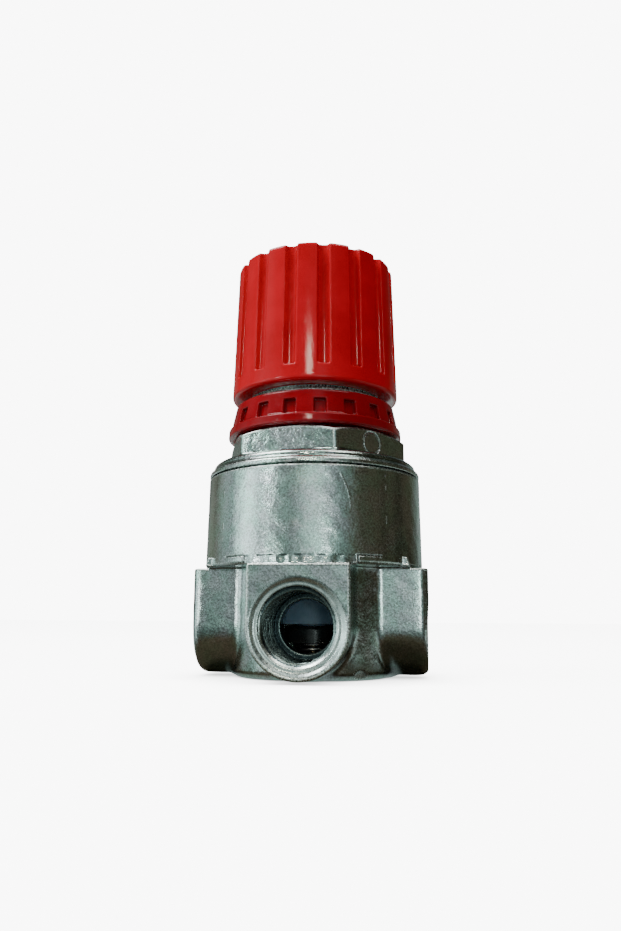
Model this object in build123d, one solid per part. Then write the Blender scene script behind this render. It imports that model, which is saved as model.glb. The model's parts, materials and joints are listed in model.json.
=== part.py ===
from build123d import *
import os
from math import cos, pi

# Small compressed-air pressure regulator with a rising adjusting knob.
# Millimetres. The axis of the regulator is Z, its base is Z = 0, and the inlet port looks along -Y.

# ---- how far a cutter runs past the face it opens, and a joined piece into the next one -------
OVERCUT = 1.0

# ---- driving dimensions: die-cast body -------------------------------------------------------
PORT_Z = 9.0
BOSS_HALF_WIDTH = 8.6
BOSS_REACH = 21.25
END_BOSS_EDGE_RADIUS = 0.4
SIDE_BOSS_EDGE_RADIUS = 1.4
BARREL_RADIUS = 14.9
BARREL_EDGE_RADIUS = 1.2
CUP_BOTTOM_Z = 19.2
CUP_TOP_Z = 36.1
CUP_BOTTOM_RADIUS = 20.35
CUP_TOP_RADIUS = 20.1
CUP_EDGE_CHAMFER = 0.45
CUP_BORE_RADIUS = 17.7
CHAMBER_RADIUS = 15.4
CHAMBER_FLOOR_Z = 21.5
DIAPHRAGM_LEDGE_Z = 26.0

# ---- ports: G 1/4 (1/4 inch parallel pipe), bored to the thread's minor diameter -------------
THREAD_MINOR_RADIUS = 5.72
PORT_MOUTH_RADIUS = 6.75
PORT_MOUTH_DEPTH = 0.9
PORT_DEPTH = 11.7
SPOTFACE_RADIUS = 8.0
SPOTFACE_FLOOR_RADIUS = 7.2
SPOTFACE_DEPTH = 0.5
INLET_HOLE_RADIUS = 4.7
OUTLET_PASSAGE_RADIUS = 1.8
OUTLET_PASSAGE_OFFSET = 12.6
OUTLET_ANGLES = (90, 180, 270)

# ---- valve bore and what closes it -----------------------------------------------------------
VALVE_BORE_RADIUS = 7.0
VALVE_BORE_TOP_Z = 17.0
WEB_HOLE_RADIUS = 3.2
SLIDE_CLEARANCE = 0.05
PLUG_FLANGE_RADIUS = 8.6
PLUG_FACE_Z = 0.2
PLUG_FLANGE_TOP_Z = 1.4
PLUG_TOP_Z = 4.2
PLUG_SLOT_WIDTH = 1.8
PLUG_SLOT_DEPTH = 0.8
PLUG_GROOVE_Z = 2.7
SPRING_POCKET_RADIUS = 4.0
SPRING_POCKET_Z = 2.6
GUIDE_POST_RADIUS = 2.5
GUIDE_BORE_BOTTOM_Z = 1.6
O_RING_SECTION_RADIUS = 0.62
O_RING_GROOVE_HEIGHT = 1.5
O_RING_GROOVE_RADIUS = 5.75
SEAT_BOTTOM_Z = 9.4
SEAT_LIP_Z = 9.0
SEAT_LIP_RADIUS = 3.1
SEAT_LIP_WIDTH = 0.5
SEAT_ORIFICE_RADIUS = 2.3
SEAT_GROOVE_Z = 15.4

# ---- valve poppet ----------------------------------------------------------------------------
STEM_RADIUS = 1.25
STEM_BOTTOM_Z = 3.0
STEM_TOP_Z = 23.8
POPPET_DISC_RADIUS = 4.4
POPPET_DISC_BOTTOM_Z = 6.3
POPPET_DISC_TOP_Z = 7.3
POPPET_SEAL_RADIUS = 5.4
POPPET_SEAL_BOTTOM_Z = 6.0
POPPET_SEAL_EDGE_RADIUS = 0.7
POPPET_SPRING_RADIUS = 3.2
POPPET_SPRING_WIRE_RADIUS = 0.3
POPPET_SPRING_TURNS = 3

# ---- diaphragm and its clamping pieces -------------------------------------------------------
DIAPHRAGM_BOTTOM_Z = 26.2
DIAPHRAGM_TOP_Z = 27.6
DIAPHRAGM_RADIUS = 17.4
ROLL_CENTRE_RADIUS = 13.55
ROLL_HALF_WIDTH = 0.75
ROLL_TOP_SAG = 1.0
ROLL_BOTTOM_SAG = 0.7
ROLL_INNER_GAP = 0.4
ROLL_OUTER_GAP = 0.1
SLIP_RING_TOP_Z = 28.4
SLIP_RING_INNER_RADIUS = 14.4
PLATE_RADIUS = 12.4
PLATE_TOP_Z = 29.6
PLATE_BOSS_RADIUS = 7.1
PLATE_BOSS_TOP_Z = 31.4
PLATE_EDGE_RADIUS = 0.5
WASHER_RADIUS = 11.5
WASHER_BOTTOM_Z = 25.0
RELIEF_HEAD_RADIUS = 4.0
RELIEF_SHANK_RADIUS = 2.75
RELIEF_SHANK_TOP_Z = 34.4
RELIEF_HOLE_RADIUS = 0.8
NUT_ACROSS_FLATS = 9.0
NUT_TOP_Z = 33.9

# ---- bonnet ----------------------------------------------------------------------------------
SKIRT_RADIUS = 17.6
SKIRT_BORE_RADIUS = 14.2
SKIRT_BORE_TOP_Z = 37.5
# inset and rise of each corner of the flange's outer profile, from the rim of the cup
FLANGE_PROFILE = ((0.0, 0.0), (0.0, 0.9), (0.6, 1.5), (0.8, 2.2), (1.5, 2.8), (2.7, 3.1))
FLANGE_TOP_Z = 39.2
HEX_ACROSS_FLATS = 31.0
HEX_BOTTOM_Z = 38.6
HEX_TOP_Z = 43.9
HEX_CORNER_Z = 42.7
HEX_CORNER_RADIUS = 0.7
HEX_TURN = 19.1
NECK_RADIUS = 12.5
NECK_BORE_RADIUS = 10.0
NECK_BORE_BOTTOM_Z = 41.5
NECK_TOP_Z = 66.0
NECK_CHAMFER = 0.9

# ---- main spring and its upper seat ----------------------------------------------------------
MAIN_SPRING_RADIUS = 8.5
MAIN_SPRING_WIRE_RADIUS = 1.05
MAIN_SPRING_TURNS = 6
UPPER_SEAT_RADIUS = 9.8
UPPER_SEAT_BOTTOM_Z = 58.5
UPPER_SEAT_TOP_Z = 60.3
UPPER_SEAT_BOSS_RADIUS = 7.1
UPPER_SEAT_BOSS_BOTTOM_Z = 56.9
UPPER_SEAT_PAD_RADIUS = 4.5
UPPER_SEAT_PAD_TOP_Z = 61.5
UPPER_SEAT_EDGE_RADIUS = 0.5
PIN_RADIUS = 2.5
PIN_TOP_Z = 72.5
PIN_TIP_RADIUS = 1.2

# ---- lock ring -------------------------------------------------------------------------------
THREADED_BORE_RADIUS = 12.7
RING_BOTTOM_Z = 44.1
RING_STEP_Z = 45.9
RING_TOP_Z = 50.5
RING_FLANGE_RADIUS = 16.8
RING_FLANGE_DRAFT = 0.1
RING_EDGE_CHAMFER = 0.3
RING_STEP_RADIUS = 16.3
RING_TOP_RADIUS = 15.3
RING_POCKETS = 18
RING_POCKET_WIDTH = 2.2
RING_POCKET_HEIGHT = 2.7
RING_POCKET_DEPTH = 0.9
RING_POCKET_SILL = 0.1
RING_POCKET_TURN = 10.8

# ---- knob ------------------------------------------------------------------------------------
KNOB_BOTTOM_Z = 52.0
KNOB_TOP_Z = 79.0
KNOB_BOTTOM_RADIUS = 16.2
KNOB_TOP_RADIUS = 15.5
KNOB_EDGE_RADIUS = 0.6
KNOB_CEILING_Z = 76.0
KNOB_BOSS_RADIUS = 4.6
KNOB_BOSS_BOTTOM_Z = 66.5
KNOB_FLUTES = 16
KNOB_FLUTE_WIDTH = 2.1
KNOB_FLUTE_DEPTH = 1.2
KNOB_FLUTE_BOTTOM_Z = 55.2
KNOB_FLUTE_TURN = 12.9
KNOB_TOP_RECESS_RADIUS = 11.0
KNOB_TOP_RECESS_DEPTH = 0.5


def revolved(*points):
    """Solid of revolution about Z from (radius, height) corners."""
    face = make_face(Polyline(*[(r, 0, z) for r, z in points], close=True))
    return revolve(face, axis=Axis.Z)


def rod(radius, bottom, top):
    """Upright cylinder on the regulator's axis."""
    return Pos(0, 0, bottom) * Cylinder(radius, top - bottom, align=(Align.CENTER, Align.CENTER, Align.MIN))


def washer(outer, inner, bottom, top):
    """Flat ring on the regulator's axis."""
    return rod(outer, bottom, top) - rod(inner, bottom, top)


def o_ring(height):
    """O-ring that fills the gap between its groove and the valve bore."""
    centre = (O_RING_GROOVE_RADIUS + VALVE_BORE_RADIUS) / 2
    return Pos(0, 0, height) * Torus(centre, O_RING_SECTION_RADIUS)


def o_ring_groove(height):
    """Ring of material that an O-ring groove takes away."""
    half = O_RING_GROOVE_HEIGHT / 2
    return washer(VALVE_BORE_RADIUS + OVERCUT, O_RING_GROOVE_RADIUS, height - half, height + half)


def coil(radius, wire_radius, bottom, top, turns):
    """Compression spring standing between two heights."""
    height = top - bottom - 2 * wire_radius
    path = Helix(pitch=height / turns, height=height, radius=radius)
    section = Plane(origin=path @ 0, z_dir=path % 0) * Circle(wire_radius)
    return Pos(0, 0, bottom + wire_radius) * sweep(section, path=path, is_frenet=True)


# ---- body casting ----------------------------------------------------------------------------
def boss(edge_radius):
    """U-shaped port boss along -Y, flat on top where the cup covers it."""
    outline = Circle(BOSS_HALF_WIDTH)
    outline += Pos(0, (CUP_BOTTOM_Z - PORT_Z) / 2) * Rectangle(2 * BOSS_HALF_WIDTH, CUP_BOTTOM_Z - PORT_Z)
    face = Plane(origin=(0, 0, PORT_Z), x_dir=(1, 0, 0), z_dir=(0, -1, 0)) * outline
    block = extrude(face, amount=BOSS_REACH)
    rim = block.faces().sort_by(Axis.Y)[0].edges().filter_by(lambda e: e.center().Z < CUP_BOTTOM_Z - OVERCUT)
    return fillet(rim, edge_radius)


def port_cutter():
    """Hollow of a tapped port along -Y: dished spot face, mouth chamfer and bore, with no helix."""
    mouth = BOSS_REACH - SPOTFACE_DEPTH
    floor = BOSS_REACH - PORT_DEPTH
    hollow = revolved(
        (0, floor),
        (THREAD_MINOR_RADIUS, floor),
        (THREAD_MINOR_RADIUS, mouth - PORT_MOUTH_DEPTH),
        (PORT_MOUTH_RADIUS, mouth),
        (SPOTFACE_FLOOR_RADIUS, mouth),
        (SPOTFACE_RADIUS, BOSS_REACH),
        (SPOTFACE_RADIUS, BOSS_REACH + OVERCUT),
        (0, BOSS_REACH + OVERCUT),
    )
    return Pos(0, 0, PORT_Z) * Rot(90, 0, 0) * hollow


def body_casting():
    """Die-cast body: barrel, four port bosses, diaphragm cup and all its bores."""
    barrel = rod(BARREL_RADIUS, 0, CUP_BOTTOM_Z + OVERCUT)
    body = fillet(barrel.edges().sort_by(Axis.Z)[0], BARREL_EDGE_RADIUS)
    body += revolved(
        (0, CUP_BOTTOM_Z),
        (CUP_BOTTOM_RADIUS - CUP_EDGE_CHAMFER, CUP_BOTTOM_Z),
        (CUP_BOTTOM_RADIUS, CUP_BOTTOM_Z + CUP_EDGE_CHAMFER),
        (CUP_TOP_RADIUS, CUP_TOP_Z),
        (0, CUP_TOP_Z),
    )
    for angle in (0, 180):
        body += Rot(0, 0, angle) * boss(END_BOSS_EDGE_RADIUS)
    for angle in (90, 270):
        body += Rot(0, 0, angle) * boss(SIDE_BOSS_EDGE_RADIUS)
    for angle in (0, *OUTLET_ANGLES):
        body -= Rot(0, 0, angle) * port_cutter()
    for angle in OUTLET_ANGLES:
        passage = rod(OUTLET_PASSAGE_RADIUS, PORT_Z, CHAMBER_FLOOR_Z + OVERCUT)
        body -= Rot(0, 0, angle) * Pos(0, -OUTLET_PASSAGE_OFFSET, 0) * passage
    inlet = Cylinder(INLET_HOLE_RADIUS, BOSS_REACH, align=(Align.CENTER, Align.CENTER, Align.MIN))
    body -= Pos(0, 0, PORT_Z) * Rot(90, 0, 0) * inlet
    body -= rod(VALVE_BORE_RADIUS, -OVERCUT, VALVE_BORE_TOP_Z)
    body -= rod(PLUG_FLANGE_RADIUS, -OVERCUT, PLUG_FLANGE_TOP_Z)
    body -= rod(WEB_HOLE_RADIUS, 0, CUP_TOP_Z)
    body -= rod(CHAMBER_RADIUS, CHAMBER_FLOOR_Z, CUP_TOP_Z)
    body -= rod(CUP_BORE_RADIUS, DIAPHRAGM_LEDGE_Z, CUP_TOP_Z + OVERCUT)
    return body


# ---- bonnet ----------------------------------------------------------------------------------
def bonnet_hexagon():
    """Spanner hexagon with rounded corners and a turned chamfer on its top corners."""
    corner = HEX_ACROSS_FLATS / 2 / cos(pi / 6)
    outline = RegularPolygon(corner, 6, rotation=HEX_TURN - 90)
    outline = fillet(outline.vertices(), HEX_CORNER_RADIUS)
    prism = Pos(0, 0, HEX_BOTTOM_Z) * extrude(outline, amount=HEX_TOP_Z - HEX_BOTTOM_Z)
    chamfer = revolved(
        (0, HEX_BOTTOM_Z),
        (corner, HEX_BOTTOM_Z),
        (corner, HEX_CORNER_Z),
        (HEX_ACROSS_FLATS / 2, HEX_TOP_Z),
        (0, HEX_TOP_Z),
    )
    return prism & chamfer


def bonnet():
    """Bonnet: threaded skirt, stepped flange, hexagon and the long threaded neck."""
    shape = revolved(
        (0, SLIP_RING_TOP_Z),
        (SKIRT_RADIUS, SLIP_RING_TOP_Z),
        (SKIRT_RADIUS, CUP_TOP_Z),
        *[(CUP_TOP_RADIUS - inset, CUP_TOP_Z + rise) for inset, rise in FLANGE_PROFILE],
        (0, FLANGE_TOP_Z),
    )
    shape += bonnet_hexagon()
    neck = rod(NECK_RADIUS, HEX_BOTTOM_Z, NECK_TOP_Z)
    shape += chamfer(neck.edges().sort_by(Axis.Z)[-1], NECK_CHAMFER)
    return shape - revolved(
        (0, SLIP_RING_TOP_Z - OVERCUT),
        (SKIRT_BORE_RADIUS, SLIP_RING_TOP_Z - OVERCUT),
        (SKIRT_BORE_RADIUS, SKIRT_BORE_TOP_Z),
        (NECK_BORE_RADIUS, NECK_BORE_BOTTOM_Z),
        (NECK_BORE_RADIUS, NECK_TOP_Z + OVERCUT),
        (0, NECK_TOP_Z + OVERCUT),
    )


# ---- fixed pieces inside the body ------------------------------------------------------------
def valve_seat():
    """Nylon seat insert with its raised sealing lip, orifice and O-ring groove."""
    outer = VALVE_BORE_RADIUS - SLIDE_CLEARANCE
    insert = rod(outer, SEAT_BOTTOM_Z, VALVE_BORE_TOP_Z)
    insert += washer(SEAT_LIP_RADIUS, SEAT_LIP_RADIUS - SEAT_LIP_WIDTH, SEAT_LIP_Z, SEAT_BOTTOM_Z + OVERCUT)
    insert -= rod(SEAT_ORIFICE_RADIUS, SEAT_LIP_Z - OVERCUT, VALVE_BORE_TOP_Z + OVERCUT)
    return insert - o_ring_groove(SEAT_GROOVE_Z)


def bottom_plug():
    """Slotted screw plug that closes the valve bore, guides the stem and carries the poppet spring."""
    plug = rod(PLUG_FLANGE_RADIUS - SLIDE_CLEARANCE, PLUG_FACE_Z, PLUG_FLANGE_TOP_Z)
    plug += rod(VALVE_BORE_RADIUS - SLIDE_CLEARANCE, PLUG_FLANGE_TOP_Z, PLUG_TOP_Z)
    plug -= washer(SPRING_POCKET_RADIUS, GUIDE_POST_RADIUS, SPRING_POCKET_Z, PLUG_TOP_Z + OVERCUT)
    plug -= rod(STEM_RADIUS + SLIDE_CLEARANCE, GUIDE_BORE_BOTTOM_Z, PLUG_TOP_Z + OVERCUT)
    plug -= o_ring_groove(PLUG_GROOVE_Z)
    slot = Box(2 * PLUG_FLANGE_RADIUS + OVERCUT, PLUG_SLOT_WIDTH, 2 * PLUG_SLOT_DEPTH)
    return plug - Pos(0, 0, PLUG_FACE_Z) * slot


def slip_ring():
    """Thin ring that lets the bonnet turn tight without dragging the diaphragm."""
    return washer(DIAPHRAGM_RADIUS, SLIP_RING_INNER_RADIUS, DIAPHRAGM_TOP_Z, SLIP_RING_TOP_Z)


def diaphragm():
    """Rubber diaphragm: flat centre, one rolled convolution and a thicker rim."""
    hole = RELIEF_SHANK_RADIUS + SLIDE_CLEARANCE
    roll = ROLL_CENTRE_RADIUS
    top_roll = ThreePointArc(
        (roll - ROLL_HALF_WIDTH, 0, DIAPHRAGM_TOP_Z),
        (roll, 0, DIAPHRAGM_TOP_Z - ROLL_TOP_SAG),
        (roll + ROLL_HALF_WIDTH, 0, DIAPHRAGM_TOP_Z),
    )
    bottom_roll = ThreePointArc(
        (CHAMBER_RADIUS - ROLL_OUTER_GAP, 0, DIAPHRAGM_LEDGE_Z),
        (roll, 0, DIAPHRAGM_LEDGE_Z - ROLL_BOTTOM_SAG),
        (WASHER_RADIUS + ROLL_INNER_GAP, 0, DIAPHRAGM_BOTTOM_Z),
    )
    centre = Polyline(
        bottom_roll @ 1,
        (hole, 0, DIAPHRAGM_BOTTOM_Z),
        (hole, 0, DIAPHRAGM_TOP_Z),
        top_roll @ 0,
    )
    rim = Polyline(
        top_roll @ 1,
        (DIAPHRAGM_RADIUS, 0, DIAPHRAGM_TOP_Z),
        (DIAPHRAGM_RADIUS, 0, DIAPHRAGM_LEDGE_Z),
        bottom_roll @ 0,
    )
    return revolve(make_face([centre, top_roll, rim, bottom_roll]), axis=Axis.Z)


# ---- pieces that ride on the diaphragm -------------------------------------------------------
def diaphragm_plate():
    """Plate on top of the diaphragm, with the boss that centres the main spring."""
    plate = rod(PLATE_RADIUS, DIAPHRAGM_TOP_Z, PLATE_TOP_Z)
    plate = fillet(plate.edges().sort_by(Axis.Z)[-1], PLATE_EDGE_RADIUS)
    plate += rod(PLATE_BOSS_RADIUS, PLATE_TOP_Z, PLATE_BOSS_TOP_Z)
    hole = RELIEF_SHANK_RADIUS + SLIDE_CLEARANCE
    return plate - rod(hole, DIAPHRAGM_TOP_Z - OVERCUT, PLATE_BOSS_TOP_Z + OVERCUT)


def diaphragm_washer():
    """Washer under the diaphragm."""
    hole = RELIEF_SHANK_RADIUS + SLIDE_CLEARANCE
    return washer(WASHER_RADIUS, hole, WASHER_BOTTOM_Z, DIAPHRAGM_BOTTOM_Z)


def relief_seat():
    """Headed hollow screw that clamps the diaphragm; the valve stem closes its bore."""
    head = rod(RELIEF_HEAD_RADIUS, STEM_TOP_Z, WASHER_BOTTOM_Z)
    screw = head + rod(RELIEF_SHANK_RADIUS, WASHER_BOTTOM_Z, RELIEF_SHANK_TOP_Z)
    return screw - rod(RELIEF_HOLE_RADIUS, STEM_TOP_Z - OVERCUT, RELIEF_SHANK_TOP_Z + OVERCUT)


def diaphragm_nut():
    """Hexagon nut on the relief seat."""
    hexagon = RegularPolygon(NUT_ACROSS_FLATS / 2, 6, major_radius=False)
    nut = Pos(0, 0, PLATE_BOSS_TOP_Z) * extrude(hexagon, amount=NUT_TOP_Z - PLATE_BOSS_TOP_Z)
    hole = RELIEF_SHANK_RADIUS + SLIDE_CLEARANCE
    return nut - rod(hole, PLATE_BOSS_TOP_Z - OVERCUT, NUT_TOP_Z + OVERCUT)


# ---- valve poppet ----------------------------------------------------------------------------
def poppet_stem():
    """Brass stem with the disc that carries the rubber seal."""
    stem = rod(STEM_RADIUS, STEM_BOTTOM_Z, STEM_TOP_Z)
    return stem + rod(POPPET_DISC_RADIUS, POPPET_DISC_BOTTOM_Z, POPPET_DISC_TOP_Z)


def poppet_seal():
    """Rubber cap moulded over the disc of the stem."""
    cap = rod(POPPET_SEAL_RADIUS, POPPET_SEAL_BOTTOM_Z, SEAT_LIP_Z)
    cap = fillet(cap.edges().sort_by(Axis.Z)[-1], POPPET_SEAL_EDGE_RADIUS)
    cap -= rod(POPPET_DISC_RADIUS, POPPET_SEAL_BOTTOM_Z - OVERCUT, POPPET_DISC_TOP_Z)
    return cap - rod(STEM_RADIUS, POPPET_SEAL_BOTTOM_Z, SEAT_LIP_Z + OVERCUT)


def poppet_spring():
    """Light spring that closes the poppet."""
    return coil(
        POPPET_SPRING_RADIUS,
        POPPET_SPRING_WIRE_RADIUS,
        SPRING_POCKET_Z,
        POPPET_DISC_BOTTOM_Z,
        POPPET_SPRING_TURNS,
    )


# ---- adjusting pieces ------------------------------------------------------------------------
def main_spring():
    """Pressure-setting spring between the diaphragm plate and the upper seat."""
    return coil(
        MAIN_SPRING_RADIUS,
        MAIN_SPRING_WIRE_RADIUS,
        PLATE_TOP_Z,
        UPPER_SEAT_BOTTOM_Z,
        MAIN_SPRING_TURNS,
    )


def upper_spring_seat():
    """Steel seat that slides in the neck on top of the main spring."""
    seat = rod(UPPER_SEAT_RADIUS, UPPER_SEAT_BOTTOM_Z, UPPER_SEAT_TOP_Z)
    seat = fillet(seat.edges().sort_by(Axis.Z)[-1], UPPER_SEAT_EDGE_RADIUS)
    seat += rod(UPPER_SEAT_BOSS_RADIUS, UPPER_SEAT_BOSS_BOTTOM_Z, UPPER_SEAT_BOTTOM_Z)
    return seat + rod(UPPER_SEAT_PAD_RADIUS, UPPER_SEAT_TOP_Z, UPPER_SEAT_PAD_TOP_Z)


def thrust_pin():
    """Steel pin pressed into the knob; its round tip bears on the upper spring seat."""
    pin = rod(PIN_RADIUS, UPPER_SEAT_PAD_TOP_Z, PIN_TOP_Z)
    return fillet(pin.edges().sort_by(Axis.Z)[0], PIN_TIP_RADIUS)


def lock_ring():
    """Ring nut on the neck, with finger pockets round its tapered side."""
    edge = RING_EDGE_CHAMFER
    ring = revolved(
        (THREADED_BORE_RADIUS, RING_BOTTOM_Z),
        (RING_FLANGE_RADIUS - edge, RING_BOTTOM_Z),
        (RING_FLANGE_RADIUS, RING_BOTTOM_Z + edge),
        (RING_FLANGE_RADIUS - RING_FLANGE_DRAFT, RING_STEP_Z - edge),
        (RING_STEP_RADIUS, RING_STEP_Z),
        (RING_TOP_RADIUS, RING_TOP_Z - edge),
        (RING_TOP_RADIUS - edge, RING_TOP_Z),
        (THREADED_BORE_RADIUS, RING_TOP_Z),
    )
    pocket = Box(RING_POCKET_WIDTH, 2 * (RING_POCKET_DEPTH + OVERCUT), RING_POCKET_HEIGHT)
    middle = RING_STEP_Z + RING_POCKET_SILL + RING_POCKET_HEIGHT / 2
    slope = (RING_STEP_RADIUS - RING_TOP_RADIUS) / (RING_TOP_Z - RING_STEP_Z)
    wall = RING_STEP_RADIUS - slope * (middle - RING_STEP_Z)
    for number in range(RING_POCKETS):
        angle = RING_POCKET_TURN + number * 360 / RING_POCKETS
        ring -= Rot(0, 0, angle) * Pos(0, -wall - OVERCUT, middle) * pocket
    return ring


def knob_flute():
    """Cutter for one finger groove of the knob, open at the top and square at its lower end."""
    length = KNOB_TOP_Z + OVERCUT - KNOB_FLUTE_BOTTOM_Z
    rise = KNOB_TOP_Z - KNOB_BOTTOM_Z
    lean = (KNOB_BOTTOM_RADIUS - KNOB_TOP_RADIUS) / rise
    floor = KNOB_BOTTOM_RADIUS - lean * (KNOB_FLUTE_BOTTOM_Z - KNOB_BOTTOM_Z) - KNOB_FLUTE_DEPTH
    side = make_face(Polyline(
        (0, -floor, KNOB_FLUTE_BOTTOM_Z),
        (0, -floor + lean * length, KNOB_FLUTE_BOTTOM_Z + length),
        (0, -KNOB_BOTTOM_RADIUS - OVERCUT, KNOB_FLUTE_BOTTOM_Z + length),
        (0, -KNOB_BOTTOM_RADIUS - OVERCUT, KNOB_FLUTE_BOTTOM_Z),
        close=True,
    ))
    return extrude(side, amount=KNOB_FLUTE_WIDTH / 2, both=True)


def knob():
    """Fluted adjusting knob: a thick cap with a threaded bore and a centre boss for the pin."""
    shell = revolved(
        (0, KNOB_BOTTOM_Z),
        (KNOB_BOTTOM_RADIUS, KNOB_BOTTOM_Z),
        (KNOB_TOP_RADIUS, KNOB_TOP_Z),
        (0, KNOB_TOP_Z),
    )
    shell = fillet(shell.edges().filter_by(GeomType.CIRCLE), KNOB_EDGE_RADIUS)
    shell -= rod(THREADED_BORE_RADIUS, KNOB_BOTTOM_Z - OVERCUT, KNOB_CEILING_Z)
    shell += rod(KNOB_BOSS_RADIUS, KNOB_BOSS_BOTTOM_Z, KNOB_CEILING_Z)
    shell -= rod(PIN_RADIUS, KNOB_BOSS_BOTTOM_Z - OVERCUT, PIN_TOP_Z)
    shell -= rod(KNOB_TOP_RECESS_RADIUS, KNOB_TOP_Z - KNOB_TOP_RECESS_DEPTH, KNOB_TOP_Z + OVERCUT)
    flute = knob_flute()
    for number in range(KNOB_FLUTES):
        shell -= Rot(0, 0, KNOB_FLUTE_TURN + number * 360 / KNOB_FLUTES) * flute
    return shell


PIECES = {
    "body_casting": body_casting,
    "bonnet": bonnet,
    "valve_seat": valve_seat,
    "valve_seat_o_ring": lambda: o_ring(SEAT_GROOVE_Z),
    "bottom_plug": bottom_plug,
    "bottom_plug_o_ring": lambda: o_ring(PLUG_GROOVE_Z),
    "slip_ring": slip_ring,
    "diaphragm": diaphragm,
    "diaphragm_plate": diaphragm_plate,
    "diaphragm_washer": diaphragm_washer,
    "relief_seat": relief_seat,
    "diaphragm_nut": diaphragm_nut,
    "poppet_stem": poppet_stem,
    "poppet_seal": poppet_seal,
    "poppet_spring": poppet_spring,
    "main_spring": main_spring,
    "upper_spring_seat": upper_spring_seat,
    "thrust_pin": thrust_pin,
    "lock_ring": lock_ring,
    "knob": knob,
}

os.makedirs("parts", exist_ok=True)
for name, make in PIECES.items():
    export_step(make(), f"parts/{name}.step")
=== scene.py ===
import json
import math

import bpy
import numpy as np
from mathutils import Matrix, Vector


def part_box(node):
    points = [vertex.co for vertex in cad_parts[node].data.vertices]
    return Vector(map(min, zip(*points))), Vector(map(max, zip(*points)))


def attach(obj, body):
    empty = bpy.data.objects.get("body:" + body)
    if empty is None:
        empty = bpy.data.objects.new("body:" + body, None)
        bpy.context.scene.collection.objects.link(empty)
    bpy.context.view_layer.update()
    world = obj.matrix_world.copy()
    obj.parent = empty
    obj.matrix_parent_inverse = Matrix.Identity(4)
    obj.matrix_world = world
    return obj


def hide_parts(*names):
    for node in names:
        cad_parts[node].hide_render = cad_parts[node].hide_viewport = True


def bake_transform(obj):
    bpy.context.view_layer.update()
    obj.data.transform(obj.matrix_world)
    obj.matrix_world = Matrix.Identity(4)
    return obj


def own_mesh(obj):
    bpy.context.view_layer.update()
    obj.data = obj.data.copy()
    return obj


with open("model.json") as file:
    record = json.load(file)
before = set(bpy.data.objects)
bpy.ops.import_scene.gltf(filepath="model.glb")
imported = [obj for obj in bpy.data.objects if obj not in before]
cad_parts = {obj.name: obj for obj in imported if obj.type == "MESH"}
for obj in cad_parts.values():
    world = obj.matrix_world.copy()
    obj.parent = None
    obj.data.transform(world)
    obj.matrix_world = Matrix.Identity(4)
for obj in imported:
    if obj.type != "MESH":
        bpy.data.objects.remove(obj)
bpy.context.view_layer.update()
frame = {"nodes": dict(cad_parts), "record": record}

# Looks of a small compressed-air regulator. Shapes are worked out in millimetres in the frame of the
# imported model: Z is the regulator's axis, Z = 0 its base, and the inlet port looks along -Y.
MM = 0.001


def box_mm(node):
    """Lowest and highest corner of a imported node, in millimetres."""
    low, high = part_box(node)
    return np.array(low) / MM, np.array(high) / MM


# ---- driving dimensions ------------------------------------------------------------------------------
BODY_LOW, BODY_HIGH = box_mm("body_casting")
BONNET_LOW, BONNET_HIGH = box_mm("bonnet")
RING_LOW, RING_HIGH = box_mm("lock_ring")
KNOB_LOW, KNOB_HIGH = box_mm("knob")
SPRING_LOW, SPRING_HIGH = box_mm("main_spring")
POPPET_SPRING_LOW, POPPET_SPRING_HIGH = box_mm("poppet_spring")
DIAPHRAGM_LOW, DIAPHRAGM_HIGH = box_mm("diaphragm")

PORT_Z = 9.0
BOSS_HALF_WIDTH = 8.6
BOSS_REACH = BODY_HIGH[0]
END_BOSS_EDGE = 0.5
SIDE_BOSS_EDGE = 1.65
BOSS_FILLET = 1.1
CROWN_START = 18.3
CROWN_RATE = 0.03
BARREL_RADIUS = 14.9
BARREL_EDGE = 1.5
CUP_BOTTOM_Z = 19.2
CUP_TOP_Z = BODY_HIGH[2]
CUP_BOTTOM_RADIUS = 20.35
CUP_TOP_RADIUS = BONNET_HIGH[0]
CUP_CHAMFER = 0.45
CUP_BORE_RADIUS = 17.7
CHAMBER_RADIUS = 15.4
CHAMBER_FLOOR_Z = 21.5
LEDGE_Z = 26.0
VALVE_BORE_RADIUS = 7.0
VALVE_BORE_TOP_Z = 17.0
WEB_HOLE_RADIUS = 3.2
PLUG_FLANGE_RADIUS = 8.6
PLUG_FLANGE_TOP_Z = 1.4

PORT_PITCH = 25.4 / 19
PORT_MINOR = 5.72
PORT_MAJOR = 6.56
PORT_MOUTH = 6.65
PORT_MOUTH_DEPTH = 0.7
PORT_DEPTH = 11.7
SPOTFACE_RADIUS = 8.0
SPOTFACE_FLOOR_RADIUS = 7.2
SPOTFACE_DEPTH = 0.5
INLET_HOLE = 4.7
PASSAGE_RADIUS = 1.8
PASSAGE_OFFSET = 12.6

# marks of the die on the body, and how deep the casting's unevenness goes
CAST_UNEVENNESS = 0.05
LEDGE_TOP_Z = 20.7
LEDGE_INNER_ANGLE = math.radians(28.5)
LEDGE_OUTER_ANGLE = math.radians(41)
SLIT_HALF_WIDTH = 0.12
SLIT_DEPTH = 0.12
RIPPLE_COUNT = 46
RIPPLE_DEPTH = 0.16
LEDGE_FLARE = 0.14
SEAM_HALF_WIDTH = 0.16
SEAM_DEPTH = 0.2
TONGUE_X = 17.2
TONGUE_Y = 11.6
TONGUE_HALF_WIDTH = 0.85
TONGUE_TOP_Z = 20.9
CHIP_ANGLE = math.radians(40)
CHIP_Z = 0.9
SCRATCH_ANGLE = math.radians(25)
SCRATCH_Z = 28

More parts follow.
